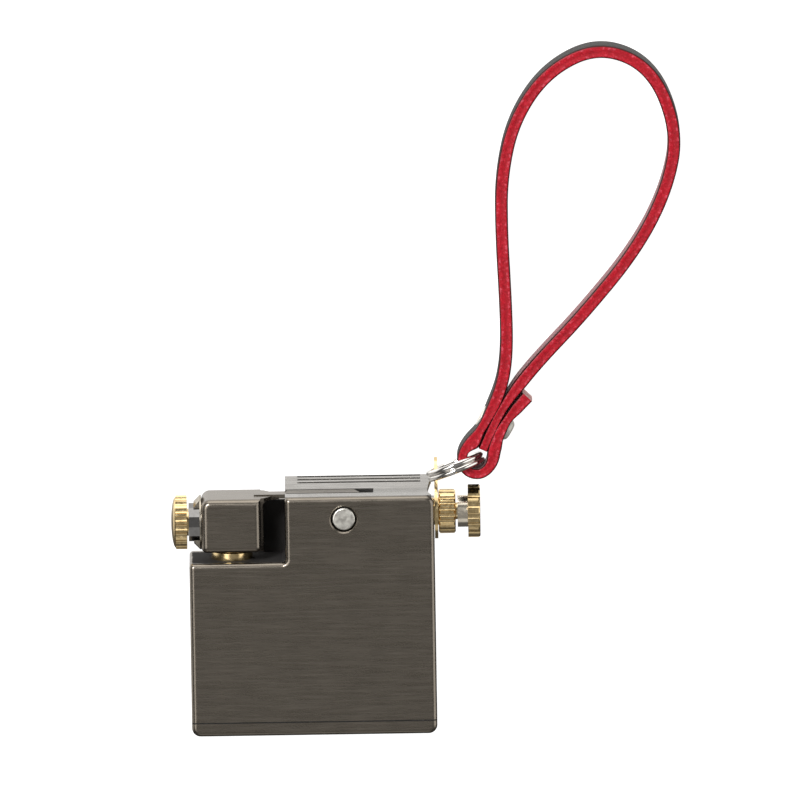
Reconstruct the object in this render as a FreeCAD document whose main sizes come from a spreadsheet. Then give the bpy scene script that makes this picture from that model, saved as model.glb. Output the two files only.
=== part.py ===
"""A pocket petrol lighter with flint ignition and a wrist strap, as a parametric document.

The lighter lies on its back: +X is the lighter's right, +Y its top and +Z points out of its
front. The origin is the middle of the rear face, and Z = 0 is the surface that it lies on.
Lengths are in millimetres. Every driving size is a cell of the sheet "Sizes". Sizes across and
up are measured from the case's left and bottom edges, and place() moves them into the frame.
"""
import FreeCAD, Part
import math
import os
import Sketcher

Vector = FreeCAD.Vector
Rotation = FreeCAD.Rotation

DRIVING_SIZES = [
    # The case: an L-shaped shell whose left shoulder is lower than the mechanism housing.
    ("case_width", 45.0),
    ("case_height", 44.4),
    ("case_depth", 13.0),
    ("wall", 1.0),
    ("step_width", 17.6),
    ("step_height", 32.3),
    ("shell_bottom", 2.7),
    ("edge_round", 0.9),
    ("corner_round", 1.6),
    ("ledge_front", 43.3),
    ("ledge_rear", 42.0),
    ("ledge_slope_start", 11.9),
    ("ledge_slope_end", 4.5),
    ("guard_width", 4.0),
    ("guard_height", 9.7),
    ("guard_depth", 1.8),
    ("guard_lip", 1.4),
    ("port_bottom", 36.5),
    ("port_width", 4.4),
    ("divider_base", 32.3),
    # The bottom cap and what is inside the tank.
    ("cap_top", 2.45),
    ("plug_top", 5.2),
    ("plug_wall", 0.8),
    ("plug_clearance", 0.1),
    ("gasket_thickness", 0.2),
    ("gasket_inset", 0.35),
    ("felt_bottom", 7.5),
    ("felt_thickness", 2.0),
    # The wick and its tube.
    ("wick_across", 7.85),
    ("wick_radius", 1.3),
    ("wick_bottom", 12.0),
    ("wick_top", 35.6),
    ("tube_radius", 2.1),
    ("flange_radius", 3.78),
    ("flange_height", 1.5),
    ("nozzle_radius", 2.6),
    ("nozzle_height", 2.3),
    # The snuffer: a hollow housing on the end of a thin arm.
    ("snuffer_left", 2.3),
    ("snuffer_bottom", 34.1),
    ("snuffer_width", 10.9),
    ("snuffer_height", 9.9),
    ("snuffer_depth", 11.3),
    ("snuffer_wall", 1.0),
    ("cup_radius", 4.0),
    ("cup_wall", 0.8),
    ("arm_top", 44.2),
    ("arm_thickness", 0.7),
    ("arm_width", 3.0),
    ("arm_end", 28.9),
    ("tip_start", 18.0),
    ("tip_end", 31.4),
    ("tip_slant", 1.1),
    ("tip_thickness", 0.35),
    ("web_depth", 2.3),
    ("cheek_drop", 0.2),
    ("fork_gap", 2.0),
    ("fork_clearance", 0.25),
    ("hub_radius", 2.9),
    # The pivot, the spark wheel and the ratchet.
    ("pivot_across", 28.4),
    ("pivot_up", 40.35),
    ("axle_radius", 1.1),
    ("axle_head_radius", 2.1),
    ("axle_hole_radius", 2.4),
    ("running_clearance", 0.05),
    ("wheel_radius", 2.4),
    ("wheel_tooth_radius", 0.22),
    ("wheel_width", 1.45),
    ("ratchet_radius", 2.0),
    ("ratchet_width", 0.4),
    # The thumb lever.
    ("lever_left", 17.7),
    ("lever_right", 44.5),
    ("lever_plate", 1.0),
    ("lever_front", 11.8),
    ("lever_bend", 4.9),
    ("lever_rear", 0.6),
    ("lever_rise", 1.75),
    ("lever_skirt", 0.8),
    ("lever_ear", 0.8),
    ("lever_notch_chord", 9.6),
    ("lever_notch_depth", 0.75),
    ("lever_spring_radius", 0.85),
    ("lever_spring_depth", 3.62),
    ("lever_spring_inset", 6.0),
    ("lever_spring_wire", 0.17),
    ("lever_spring_pitch", 1.3),
    ("lever_spring_height", 9.4),
    ("slot_rear", 4.75),
    ("slot_front", 8.5),
    ("slot_right", 33.9),
    ("groove_width", 0.42),
    ("groove_pitch", 1.0),
    ("groove_depth", 0.12),
    ("groove_inset", 2.3),
    ("hinge_up", 42.9),
    ("hinge_depth", 11.2),
    ("hinge_pin_radius", 0.6),
    # The flint tube and everything on its axis, on the right-hand side.
    ("side_axis_up", 40.35),
    ("flint_radius", 0.85),
    ("flint_start", 30.87),
    ("flint_end", 36.5),
    ("follower_end", 38.0),
    ("flint_spring_wire", 0.14),
    ("flint_spring_pitch", 0.75),
    ("tube_start", 33.9),
    ("tube_outer", 1.6),
    ("tube_bore", 0.9),
    ("neck_outer", 2.5),
    ("neck_bore", 1.6),
    ("neck_end", 48.8),
    ("lug_start", 45.1),
    ("lug_thickness", 0.6),
    ("lug_radius", 5.0),
    ("lug_reach", 7.18),
    ("lug_tip_radius", 3.0),
    ("lug_hole", 2.36),
    ("collar_start", 45.82),
    ("collar_length", 3.1),
    ("collar_radius", 4.05),
    ("screw_start", 49.3),
    ("screw_neck_radius", 2.95),
    ("screw_neck_length", 1.9),
    ("screw_knob_radius", 4.85),
    ("screw_knob_length", 2.25),
    # The knob on the snuffer's left side.
    ("knob_axis_up", 39.0),
    ("washer_radius", 5.0),
    ("washer_thickness", 0.3),
    ("washer_bevel", 1.1),
    ("washer_lug_half", 2.3),
    ("washer_lug_inner", 3.75),
    ("faceted_radius", 3.5),
    ("faceted_length", 2.0),
    ("knob_gap", 0.35),
    ("knob_radius", 4.95),
    ("knob_length", 2.9),
    ("knob_dome", 0.85),
    ("knob_dome_radius", 4.7),
    ("stem_radius", 1.6),
    # The split ring, the strap and its rivet.
    ("ring_radius", 5.0),
    ("ring_wire", 0.53),
    ("ring_coil_offset", 0.5),
    ("strap_width", 6.6),
    ("strap_thickness", 1.54),
    ("rivet_radius", 2.05),
    ("rivet_low_head", 0.35),
    ("rivet_dome", 1.15),
    ("rivet_post_radius", 0.9),
]

LUG_LEAN = 24.5             # degrees that the lug leans back towards the surface
RING_SLANT = 20.3           # degrees between the ring's long direction and +X
RING_TILT = 7.8             # degrees that the ring's plane leans towards the lighter's top
RING_PASS = 143.4           # degrees from the ring's far end back to the lug's hole
STRAP_TILT = 2.3            # degrees that the strap's plane falls away from the ring
EYE_BACK = 0.4              # from the ring's far end back to the middle of the strap's eye
EYE_SHIFT = Vector(-0.45, 0.45, 0)
FACETS = 12                 # flat sides of the collar behind the finger knob
KNOB_FLUTES = 20            # hollows round the finger knob
DOME_STEP = 15              # degrees between the points of the knob's domed end
KNOB_FLUTE = (0.34, 0.66)   # how far outside the rim a hollow's centre is, and its radius
WHEEL_TEETH = 24
RATCHET_TEETH = 12
RATCHET_ROOT = 0.8          # root radius of the ratchet over its tip radius
RATCHET_LEAN = 0.03         # radians that a tooth's steep side leans
SCREW_FLUTES = 16           # hollows round the flint screw's knob
SCREW_FLUTE = (0.55, 0.8)
COLLAR_FLUTES = 22          # grooves round the fluted collar
COLLAR_FLUTE = (0.12, 0.34)
LEVER_GROOVES = 3
HALF_ROOT = math.sqrt(0.5)  # sine and cosine of 45 degrees
OVERCUT = 1.0               # how far a cutting tool starts outside what it cuts
# The arm's plan where it leaves the snuffer: how far right of it, and in from its rear or front.
ARM_TAPER = [(-1.2, 1.4), (0.6, 1.9)]
ARM_NECK = [(2.0, 0.5), (3.4, 0.0)]  # the same for the run into the arm: how far outside the arm
# The web under the arm's root: how far right of the snuffer, and below the arm's underside.
ARM_WEB = [(0.0, 2.3), (0.2, 1.5), (0.55, 0.9), (1.1, 0.45), (1.9, 0.12), (3.2, 0.0)]
FACET_TURN = 0.85           # how far round the collar is, in facets


class Size:
    """A length that knows its value now and the sheet expression that it comes from."""

    def __init__(self, value, text):
        self.value = float(value)
        self.text = text

    def __add__(self, other):
        other = as_size(other)
        return Size(self.value + other.value, f"({self.text} + {other.text})")

    def __sub__(self, other):
        other = as_size(other)
        return Size(self.value - other.value, f"({self.text} - {other.text})")

    def __mul__(self, factor):
        return Size(self.value * factor, f"({self.text} * {factor:.9g})")

    def __truediv__(self, divisor):
        return Size(self.value / divisor, f"({self.text} / {divisor:.9g})")

    def __neg__(self):
        return Size(-self.value, f"(0 - {self.text})")


def as_size(length):
    return length if isinstance(length, Size) else Size(length, f"({float(length):.9g})")


class SizeBook:
    """Holds one Size per cell, under the cell's alias."""


doc = FreeCAD.newDocument("FlintLighter")
sheet = doc.addObject("Spreadsheet::Sheet", "Sizes")
size = SizeBook()
for row, (alias, length) in enumerate(DRIVING_SIZES, start=1):
    sheet.set(f"A{row}", alias)
    sheet.set(f"B{row}", str(length))
    sheet.setAlias(f"B{row}", alias)
    setattr(size, alias, Size(length, f"Sizes.{alias}"))
doc.recompute()

MID_DEPTH = size.case_depth / 2
INNER_DEPTH = size.case_depth - size.wall * 2
made = []


# ---------------------------------------------------------------- helpers

def bind(thing, prop, length):
    """Ties a property to the sheet, or sets it when the length is a plain number."""
    thing.setExpression(prop, as_size(length).text)


def new_body(label):
    body = doc.addObject("PartDesign::Body", label)
    body.Label = label
    place(body, 0, 0, 0)
    made.append(body)
    return body


def place(thing, across, up, out, rotation=None):
    """Puts a piece at a distance from the case's left, bottom and rear faces."""
    thing.Placement = FreeCAD.Placement(Vector(0, 0, 0), rotation or Rotation())
    across = as_size(across) - size.case_width / 2
    up = as_size(up) - size.case_height / 2
    for prop, length in (("x", across), ("y", up), ("z", out)):
        bind(thing, f"Placement.Base.{prop}", length)


def set_pose(body, placement):
    """Puts a body at a worked-out placement in place of the one tied to the sheet."""
    for prop in ("x", "y", "z"):
        body.setExpression(f"Placement.Base.{prop}", None)
    body.Placement = placement


def to_frame(spot):
    """A point measured from the case's left and bottom edges, in the frame."""
    return spot - Vector(size.case_width.value / 2, size.case_height.value / 2, 0)


def origin_plane(body, role):
    return next(f for f in body.Origin.OriginFeatures if f.Role == role)


def new_sketch(body, plane, start):
    """A sketch on one of the body's planes, moved along the positive axis to start."""
    sketch = body.newObject("Sketcher::SketchObject", f"{body.Name}_sketch")
    sketch.AttachmentSupport = (origin_plane(body, plane), [""])
    sketch.MapMode = "FlatFace"
    start = as_size(start)
    along = -start if plane == "XZ_Plane" else start
    bind(sketch, "AttachmentOffset.Base.z", along)
    return sketch


def pin_point(sketch, geometry, point, across, up):
    """Fixes a sketch point at a distance from the origin along each axis."""
    for kind, length, axis in (("DistanceX", across, -2), ("DistanceY", up, -1)):
        length = as_size(length)
        if abs(length.value) < 1e-9:
            sketch.addConstraint(Sketcher.Constraint("PointOnObject", geometry, point, axis))
            continue
        index = sketch.addConstraint(
            Sketcher.Constraint(kind, -1, 1, geometry, point, length.value)
        )
        sketch.setExpression(f"Constraints[{index}]", length.text)


def draw_polygon(sketch, points):
    first = sketch.GeometryCount
    spots = [Vector(as_size(x).value, as_size(y).value, 0) for x, y in points]
    count = len(points)
    for i in range(count):
        sketch.addGeometry(Part.LineSegment(spots[i], spots[(i + 1) % count]), False)
    for i in range(count):
        sketch.addConstraint(
            Sketcher.Constraint("Coincident", first + i, 2, first + (i + 1) % count, 1)
        )
    for i, (x, y) in enumerate(points):
        pin_point(sketch, first + i, 1, x, y)


def draw_circle(sketch, across, up, radius):
    across, up, radius = as_size(across), as_size(up), as_size(radius)
    circle = Part.Circle(Vector(across.value, up.value, 0), Vector(0, 0, 1), radius.value)
    index = sketch.addGeometry(circle, False)
    pin_point(sketch, index, 3, across, up)
    constraint = sketch.addConstraint(Sketcher.Constraint("Radius", index, radius.value))
    sketch.setExpression(f"Constraints[{constraint}]", radius.text)


def box_points(left, low, right, high):
    return [(left, low), (right, low), (right, high), (left, high)]


def extrude(body, sketch, plane, length, cuts=False):
    """Pads or pockets a sketch towards the positive axis of its plane."""
    before = body.Shape.Volume if cuts else 0.0
    feature = body.newObject(
        "PartDesign::Pocket" if cuts else "PartDesign::Pad", f"{body.Name}_step"
    )
    feature.Profile = sketch
    bind(feature, "Length", length)
    feature.Reversed = cuts != (plane == "XZ_Plane")
    doc.recompute()
    if cuts and body.Shape.Volume > before - 1e-6:
        raise RuntimeError(f"a pocket in {body.Label} cuts nothing")
    return feature


def slab(body, plane, start, length, points, cuts=False):
    sketch = new_sketch(body, plane, start)
    draw_polygon(sketch, points)
    return extrude(body, sketch, plane, length, cuts)


def disc(body, plane, start, length, across, up, radius, cuts=False):
    sketch = new_sketch(body, plane, start)
    draw_circle(sketch, across, up, radius)
    return extrude(body, sketch, plane, length, cuts)


def turned(label, profile):
    """A solid of revolution about the body's Z axis from (radius, height) points."""
    body = new_body(label)
    sketch = new_sketch(body, "XZ_Plane", 0)
    draw_polygon(sketch, profile)
    turn = body.newObject("PartDesign::Revolution", f"{label}_turn")
    turn.Profile = sketch
    turn.ReferenceAxis = (sketch, ["V_Axis"])
    turn.Angle = 360
    doc.recompute()
    return body


def blend_edges(body, radius, wanted, kind="PartDesign::Fillet"):
    """Rounds or bevels the edges of the body that the test picks."""
    base = body.Tip
    names = [f"Edge{i}" for i, edge in enumerate(base.Shape.Edges, start=1) if wanted(edge)]
    if not names:
        raise RuntimeError(f"no edge to round on {body.Label}")
    blend = body.newObject(kind, f"{body.Name}_blend")
    blend.Base = (base, names)
    bind(blend, "Radius" if kind.endswith("Fillet") else "Size", radius)
    body.Tip = blend
    doc.recompute()
    return blend


def flat_at(edge, axis, level, tolerance=1e-4):
    """True when the whole edge lies in the plane axis = level."""
    low = getattr(edge.BoundBox, f"{axis}Min")
    high = getattr(edge.BoundBox, f"{axis}Max")
    return abs(low - level) < tolerance and abs(high - level) < tolerance


def stands_at(edge, across, up, tolerance=1e-3):
    """True for an edge parallel to Z through the point (across, up)."""
    return flat_at(edge, "X", across, tolerance) and flat_at(edge, "Y", up, tolerance)


def flutes(body, count, pitch_radius, cut_radius, start, length):
    """Cuts evenly spaced round grooves along the outside of a turned body."""
    groove = disc(body, "XY_Plane", start, length, pitch_radius, 0, cut_radius, cuts=True)
    pattern = body.newObject("PartDesign::PolarPattern", f"{body.Name}_flutes")
    pattern.Originals = [groove]
    pattern.Axis = (groove.Profile[0], ["N_Axis"])
    pattern.Angle = 360
    pattern.Occurrences = count
    body.Tip = pattern
    doc.recompute()


def coil_spring(label, radius, wire, pitch, height):
    """A round-wire compression spring about the body's Z axis."""
    body = new_body(label)
    sketch = new_sketch(body, "XZ_Plane", 0)
    draw_circle(sketch, radius, wire, wire)
    coil = body.newObject("PartDesign::AdditiveHelix", f"{label}_coil")
    coil.Profile = sketch
    coil.ReferenceAxis = (sketch, ["V_Axis"])
    coil.Mode = 0
    bind(coil, "Pitch", pitch)
    bind(coil, "Height", height)
    doc.recompute()
    return body


# ---------------------------------------------------------------- the case

def make_case_shell():
    body = new_body("case_shell")
    wide, tall, deep, wall = size.case_width, size.case_height, size.case_depth, size.wall
    low, step_x, step_y = size.shell_bottom, size.step_width, size.step_height
    outline = [(0, low), (wide, low), (wide, tall), (step_x, tall), (step_x, step_y), (0, step_y)]
    slab(body, "XY_Plane", 0, deep, outline)
    blend_edges(body, size.corner_round, lambda e: stands_at(e, wide.value, tall.value))
    blend_edges(body, size.wall * 0.7, lambda e: stands_at(e, step_x.value, tall.value)
                or stands_at(e, step_x.value, step_y.value) or stands_at(e, 0, step_y.value))
    slab(body, "XY_Plane", 0, size.guard_depth, box_points(
        step_x - size.guard_width, step_y, step_x + wall / 2, step_y + size.guard_height))
    slab(body, "XY_Plane", 0, size.guard_depth / 4, box_points(
        step_x - size.guard_width - size.guard_lip, step_y, step_x, step_y + size.guard_height))
    blend_edges(body, size.edge_round, lambda e: flat_at(e, "Z", deep.value)
                and not flat_at(e, "Y", low.value))
    slab(body, "XY_Plane", wall, INNER_DEPTH,
         box_points(wall, low - wall, wide - wall, step_y - wall), cuts=True)
    slab(body, "XY_Plane", wall, INNER_DEPTH,
         box_points(step_x + wall, step_y - wall * 1.5, wide - wall, tall + wall), cuts=True)
    ledge = [
        (size.ledge_front, size.ledge_slope_start),
        (tall + wall * 2, size.ledge_slope_start),
        (tall + wall * 2, -wall),
        (size.ledge_rear, -wall),
        (size.ledge_rear, size.ledge_slope_end),
    ]
    slab(body, "YZ_Plane", step_x - size.guard_width, wide, ledge, cuts=True)
    half_port = size.port_width / 2
    slab(body, "YZ_Plane", step_x - wall, wall * 2.2, box_points(
        size.port_bottom, MID_DEPTH - half_port, tall + wall, MID_DEPTH + half_port), cuts=True)
    disc(body, "XY_Plane", deep - wall * 1.5, wall * 2, size.pivot_across, size.pivot_up,
         size.axle_hole_radius, cuts=True)
    blend_edges(body, wall / 4, lambda e: flat_at(e, "Z", deep.value)
                and abs(e.BoundBox.Center.x - size.pivot_across.value) < 0.01
                and e.BoundBox.XLength < 6, kind="PartDesign::Chamfer")
    disc(body, "YZ_Plane", wide - wall * 1.5, wall * 2, size.side_axis_up, MID_DEPTH,
         size.neck_outer, cuts=True)
    disc(body, "XZ_Plane", step_y - wall * 1.5, wall * 2, size.wick_across, MID_DEPTH,
         size.tube_radius, cuts=True)


def make_tank_divider():
    body = new_body("tank_divider")
    slab(body, "XY_Plane", size.wall, INNER_DEPTH, box_points(
        size.step_width + size.wall, size.divider_base,
        size.case_width - size.wall, size.divider_base + size.wall))


def make_bottom_cap():
    body = new_body("bottom_cap")
    wide, deep, wall = size.case_width, size.case_depth, size.wall
    slab(body, "XY_Plane", 0, deep, box_points(0, 0, wide, size.cap_top))
    blend_edges(body, size.corner_round,
                lambda e: stands_at(e, 0, 0) or stands_at(e, wide.value, 0))
    blend_edges(body, size.edge_round, lambda e: (flat_at(e, "Z", deep.value)
                or flat_at(e, "Z", 0)) and not flat_at(e, "Y", size.cap_top.value))
    inset = wall + size.plug_clearance
    rise = size.plug_top - size.cap_top
    slab(body, "XZ_Plane", size.cap_top, rise, box_points(inset, inset, wide - inset, deep - inset))
    inner = inset + size.plug_wall
    slab(body, "XZ_Plane", size.cap_top, rise + wall, box_points(
        inner, inner, wide - inner, deep - inner), cuts=True)


def make_bottom_gasket():
    body = new_body("bottom_gasket")
    wide, deep = size.case_width, size.case_depth
    edge = size.gasket_inset
    inner = size.wall + size.plug_clearance
    slab(body, "XZ_Plane", size.cap_top, size.gasket_thickness,
         box_points(edge, edge, wide - edge, deep - edge))
    slab(body, "XZ_Plane", size.cap_top - 1, size.gasket_thickness + 2,
         box_points(inner, inner, wide - inner, deep - inner), cuts=True)


def make_tank_filling():
    wall, wide = size.wall, size.case_width
    cotton = new_body("cotton_packing")
    cotton_bottom = size.felt_bottom + size.felt_thickness
    cotton_top = size.step_height - wall
    slab(cotton, "XY_Plane", wall, INNER_DEPTH,
         box_points(wall, cotton_bottom, wide - wall, cotton_top))
    disc(cotton, "XZ_Plane", size.wick_bottom, size.step_height - size.wick_bottom,
         size.wick_across, MID_DEPTH, size.wick_radius, cuts=True)
    felt = new_body("felt_pad")
    slab(felt, "XY_Plane", wall, INNER_DEPTH,
         box_points(wall, size.felt_bottom, wide - wall, cotton_bottom))


def make_wick():
    wick = doc.addObject("Part::Cylinder", "wick")
    wick.Label = "wick"
    bind(wick, "Radius", size.wick_radius)
    bind(wick, "Height", size.wick_top - size.wick_bottom)
    place(wick, size.wick_across, size.wick_bottom, MID_DEPTH, Rotation(Vector(1, 0, 0), -90))
    made.append(wick)


def make_wick_tube():
    bore, wall = size.wick_radius, size.wall
    body = turned("wick_tube", [
        (bore, -wall), (size.tube_radius, -wall), (size.tube_radius, 0),
        (size.flange_radius, 0), (size.flange_radius, size.flange_height),
        (size.nozzle_radius, size.flange_height), (size.nozzle_radius, size.nozzle_height),
        (bore, size.nozzle_height),
    ])
    blend_edges(body, wall / 4, lambda e: flat_at(e, "Z", size.flange_height.value)
                and e.BoundBox.XLength > 6)
    place(body, size.wick_across, size.step_height, MID_DEPTH, Rotation(Vector(1, 0, 0), -90))


# ---------------------------------------------------------------- the snuffer

def make_snuffer_arm():
    body = new_body("snuffer_arm")
    left, low = size.snuffer_left, size.snuffer_bottom
    right, high = left + size.snuffer_width, low + size.snuffer_height
    rear = (size.case_depth - size.snuffer_depth) / 2
    front = rear + size.snuffer_depth
    slab(body, "XY_Plane", rear, size.snuffer_depth, box_points(left, low, right, high))
    blend_edges(body, size.corner_round, lambda e: stands_at(e, left.value, high.value))
    blend_edges(body, size.wall, lambda e: stands_at(e, left.value, low.value)
                or stands_at(e, right.value, low.value))
    blend_edges(body, size.wall * 1.1, lambda e: flat_at(e, "Z", front.value)
                or flat_at(e, "Z", rear.value))

    arm_rear = (size.case_depth - size.arm_width) / 2
    under = size.arm_top - size.arm_thickness
    arm_front = arm_rear + size.arm_width
    behind = [(right + x, rear + z) for x, z in ARM_TAPER]
    behind += [(right + x, arm_rear - z) for x, z in ARM_NECK]
    before = [(right + x, front - z) for x, z in ARM_TAPER]
    before += [(right + x, arm_front + z) for x, z in ARM_NECK]
    slab(body, "XZ_Plane", high - size.arm_thickness, size.arm_thickness, behind + before[::-1])
    root = right + ARM_TAPER[0][0]
    slab(body, "XY_Plane", arm_rear, size.arm_width, [
        (root, size.arm_top), (root, under - size.web_depth),
        *((right + x, under - y) for x, y in ARM_WEB),
        (size.arm_end, under), (size.arm_end + 0.5, size.arm_top)])
    cheeks = [
        (size.pivot_across - size.hub_radius - 1.2, under),
        (size.pivot_across - size.hub_radius, size.pivot_up - 0.6),
        (size.pivot_across - size.hub_radius * HALF_ROOT, size.pivot_up - size.hub_radius * HALF_ROOT),
        (size.pivot_across, size.pivot_up - size.hub_radius),
        (size.pivot_across + size.hub_radius * HALF_ROOT, size.pivot_up - size.hub_radius * HALF_ROOT),
        (size.pivot_across + size.hub_radius, size.pivot_up - 0.6),
        (size.pivot_across + size.hub_radius * 0.85, size.pivot_up + size.hub_radius * 0.6),
        (size.arm_end + 0.5, size.arm_top - size.cheek_drop),
        (size.pivot_across, size.arm_top - size.cheek_drop),
    ]
    slab(body, "XY_Plane", arm_rear, size.arm_width, cheeks)
    disc(body, "XY_Plane", MID_DEPTH - size.fork_gap / 2, size.fork_gap,
         size.pivot_across, size.pivot_up, size.wheel_radius + size.fork_clearance, cuts=True)
    slab(body, "XY_Plane", MID_DEPTH - size.fork_gap / 2, size.fork_gap, [
        (size.pivot_across - 1.5, size.pivot_up - 4), (size.pivot_across + 6, size.pivot_up - 4),
        (size.pivot_across + 6, size.arm_top + 1), (size.arm_end + 0.05, size.arm_top + 1),
        (size.arm_end - 0.45, under - 0.3), (size.pivot_across - 1.5, size.pivot_up),
    ], cuts=True)
    disc(body, "XY_Plane", arm_rear - 1, size.arm_width + 2, size.pivot_across, size.pivot_up,
         size.axle_radius + size.running_clearance, cuts=True)
    # The raised tip runs flush with the lever through its slot, over the fork, to a slanted end.
    slab(body, "XZ_Plane", size.case_height - size.tip_thickness, size.tip_thickness, [
        (size.tip_start, arm_rear), (size.tip_end - size.tip_slant, arm_rear),
        (size.tip_end, arm_rear + size.arm_width), (size.tip_start, arm_rear + size.arm_width)])
    inner = size.snuffer_wall
    slab(body, "XY_Plane", rear + inner, size.snuffer_depth - inner * 2, box_points(
        left + inner, low - 1, right - inner, high - inner), cuts=True)
    disc(body, "YZ_Plane", left - 1, inner + 1.5, size.knob_axis_up, MID_DEPTH,
         size.stem_radius + size.running_clearance, cuts=True)


def make_snuffer_cup():
    outer = size.cup_radius
    inner = outer - size.cup_wall
    tall = size.snuffer_height - size.snuffer_wall
    body = turned("snuffer_cup", [
        (inner, 0), (outer, 0), (outer, tall), (0, tall), (0, tall - size.cup_wall),
        (inner, tall - size.cup_wall)])
    place(body, size.wick_across, size.snuffer_bottom, MID_DEPTH, Rotation(Vector(1, 0, 0), -90))


def face_left(body, start):
    """Turns a body so that its Z axis points to the lighter's left, from start."""
    place(body, start, size.knob_axis_up, MID_DEPTH, Rotation(Vector(0, 1, 0), -90))


def make_side_knob():
    hole = size.stem_radius + size.running_clearance
    rim, thick, bevel = size.washer_radius, size.washer_thickness, size.washer_bevel
    washer = turned("knob_washer", [
        (hole, 0), (rim, 0), (rim, thick), (rim - bevel, thick + bevel),
        (size.washer_lug_inner, thick + bevel), (size.washer_lug_inner, thick), (hole, thick)])
    # Two flats leave the washer's bevelled rim as a lug above and one below the collar.
    for near, far in ((size.washer_lug_half, rim + 1), (-rim - 1, -size.washer_lug_half)):
        slab(washer, "XY_Plane", thick, bevel * 2, box_points(near, -rim - 1, far, rim + 1),
             cuts=True)
    face_left(washer, size.snuffer_left)

    collar = new_body("knob_collar")
    corner_radius = size.faceted_radius / math.cos(math.pi / FACETS)
    slab(collar, "XY_Plane", 0, size.faceted_length, [
        (corner_radius * math.cos(2 * math.pi * (corner + FACET_TURN) / FACETS),
         corner_radius * math.sin(2 * math.pi * (corner + FACET_TURN) / FACETS))
        for corner in range(FACETS)])
    disc(collar, "XY_Plane", -1, size.faceted_length + 2, 0, 0, hole, cuts=True)
    face_left(collar, size.snuffer_left - thick)

    inside = size.snuffer_wall + size.washer_thickness + size.faceted_length
    base = inside + size.knob_gap
    lobed = base + size.knob_length - size.knob_dome
    dome = [(size.knob_dome_radius * math.cos(math.radians(turn)),
             lobed + size.knob_dome * math.sin(math.radians(turn)))
            for turn in range(0, 90, DOME_STEP)]
    knob = turned("finger_knob", [
        (0, 0), (size.stem_radius, 0), (size.stem_radius, inside + 0.05),
        (size.faceted_radius - 1, inside + 0.05), (size.faceted_radius - 1, base),
        (size.knob_radius, base), (size.knob_radius, lobed), *dome,
        (0, base + size.knob_length)])
    hollow_out, hollow_radius = KNOB_FLUTE
    flutes(knob, KNOB_FLUTES, size.knob_radius + hollow_out, hollow_radius, base - 0.2,
           lobed - base + 0.2)
    face_left(knob, size.snuffer_left + size.snuffer_wall)


# ---------------------------------------------------------------- the spark mechanism

def make_pivot_axle():
    deep, wall = size.case_depth, size.wall
    body = turned("pivot_axle", [
        (0, wall), (size.axle_radius, wall), (size.axle_radius, deep - wall * 0.95),
        (size.axle_head_radius, deep - wall * 0.95), (size.axle_head_radius, deep - 0.1),
        (0, deep - 0.1)])
    top = (deep - 0.1).value
    blend_edges(body, wall * 0.3, lambda e: flat_at(e, "Z", top) and e.BoundBox.XLength > 1)
    place(body, size.pivot_across, size.pivot_up, 0)


def make_wheels():
    bore = size.axle_radius + size.running_clearance
    gap_rear = MID_DEPTH - size.fork_gap / 2
    ratchet_rear = gap_rear + size.running_clearance
    wheel_rear = ratchet_rear + size.ratchet_width
    wheel = new_body("spark_wheel")
    disc(wheel, "XY_Plane", 0, size.wheel_width, 0, 0, size.wheel_radius)
    flutes(wheel, WHEEL_TEETH, size.wheel_radius + 0.1, size.wheel_tooth_radius, -0.2,
           size.wheel_width + 0.4)
    disc(wheel, "XY_Plane", -0.5, size.wheel_width + 1, 0, 0, bore, cuts=True)
    place(wheel, size.pivot_across, size.pivot_up, wheel_rear)

    ratchet = new_body("ratchet_wheel")
    saw = []
    for tooth in range(RATCHET_TEETH):
        angle = 2 * math.pi * tooth / RATCHET_TEETH
        for reach, turn in ((1.0, angle), (RATCHET_ROOT, angle + RATCHET_LEAN)):
            saw.append((size.ratchet_radius * (reach * math.cos(turn)),
                        size.ratchet_radius * (reach * math.sin(turn))))
    slab(ratchet, "XY_Plane", 0, size.ratchet_width, saw)
    disc(ratchet, "XY_Plane", -0.5, size.ratchet_width + 1, 0, 0, bore, cuts=True)
    place(ratchet, size.pivot_across, size.pivot_up, ratchet_rear)


def make_pawl_spring():
    body = new_body("pawl_spring")
    under = size.arm_top - size.arm_thickness
    x, y = size.pivot_across, size.pivot_up
    slab(body, "XY_Plane", MID_DEPTH - size.fork_gap / 2, size.ratchet_width, [
        (x - 3.4, under), (x - 2.9, under), (x - 1.5, y + 1.72), (x - 1.65, y + 1.55),
        (x - 3.2, under - 0.45), (x - 3.4, under - 0.3)])


def make_flint_train():
    """The tube through the right-hand wall, with the flint, follower and spring in it."""
    turn = Rotation(Vector(0, 1, 0), 90)
    wide, wall = size.case_width, size.wall
    for label, start, end in (("flint", size.flint_start, size.flint_end),
                              ("flint_follower", size.flint_end, size.follower_end)):
        rod = doc.addObject("Part::Cylinder", label)
        rod.Label = label
        bind(rod, "Radius", size.flint_radius)
        bind(rod, "Height", end - start)
        place(rod, start, size.side_axis_up, MID_DEPTH, turn)
        made.append(rod)

    wire = size.flint_spring_wire
    spring = coil_spring("flint_spring", size.flint_radius - wire, wire, size.flint_spring_pitch,
                         wide - wall - size.follower_end)
    place(spring, size.follower_end + 0.05, size.side_axis_up, MID_DEPTH, turn)

    long = wide - wall - size.tube_start
    end = size.neck_end - size.tube_start
    tube = turned("flint_tube", [
        (size.tube_bore, 0), (size.tube_outer, 0), (size.tube_outer, long),
        (size.neck_outer, long), (size.neck_outer, end), (size.neck_bore, end),
        (size.neck_bore, long + wall / 2), (size.tube_bore, long + wall / 2)])
    place(tube, size.tube_start, size.side_axis_up, MID_DEPTH, turn)


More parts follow.
